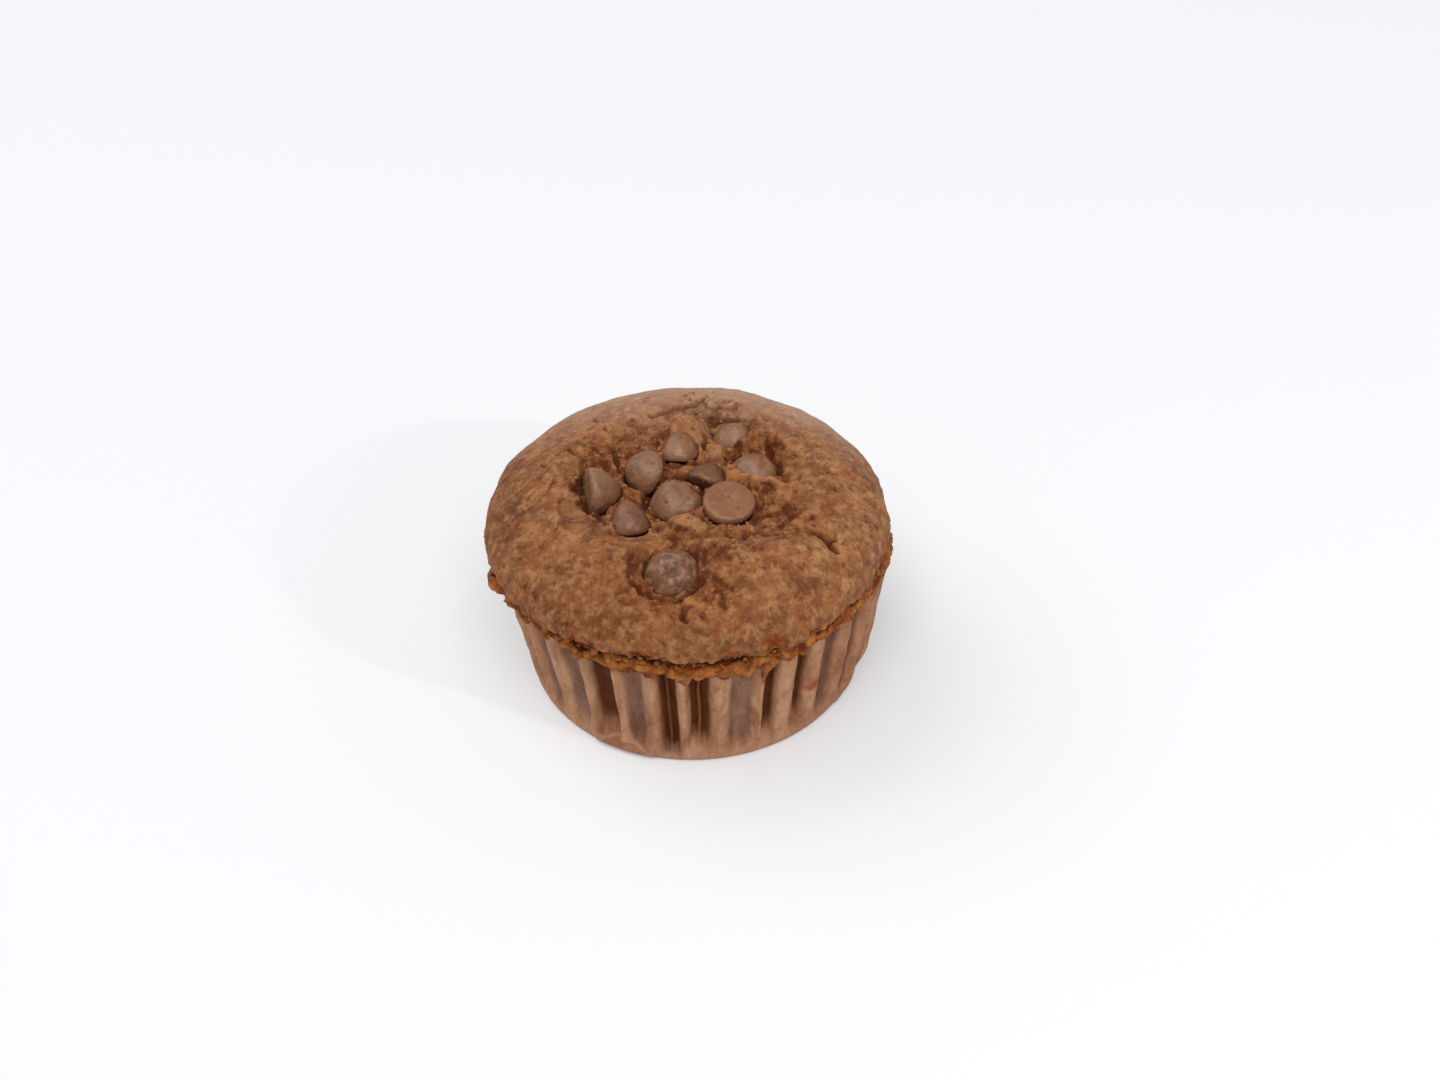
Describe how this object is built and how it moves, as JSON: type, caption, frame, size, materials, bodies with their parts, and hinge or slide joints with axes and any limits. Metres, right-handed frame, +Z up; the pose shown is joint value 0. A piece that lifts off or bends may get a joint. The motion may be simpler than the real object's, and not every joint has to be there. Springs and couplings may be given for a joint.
{
  "type": "chocolate cupcake",
  "caption": "Round chocolate cupcake with a cracked, domed crust, whole chocolate chips baked into its sunken top and a fluted brown paper case round its tapered side.",
  "frame": {"origin": "middle of the foot, on the surface that the cupcake stands on", "axes": "+Z up through the dome, -Y towards the side with the single chip near the edge"},
  "size_m": [0.0709, 0.0704, 0.0423],
  "materials": {
    "cake": "baked chocolate crumb with a dry crust",
    "paper": "brown greaseproof paper, faint sheen",
    "chocolate": "milk chocolate with a dull bloom"
  },
  "bodies": {
    "root": {"cake": "cake", "paper_case": "paper", "chip_01": "chocolate", "chip_02": "chocolate", "chip_03": "chocolate", "chip_04": "chocolate", "chip_05": "chocolate", "chip_06": "chocolate", "chip_07": "chocolate", "chip_08": "chocolate", "chip_09": "chocolate", "chip_10": "chocolate"}
  },
  "joints": []
}
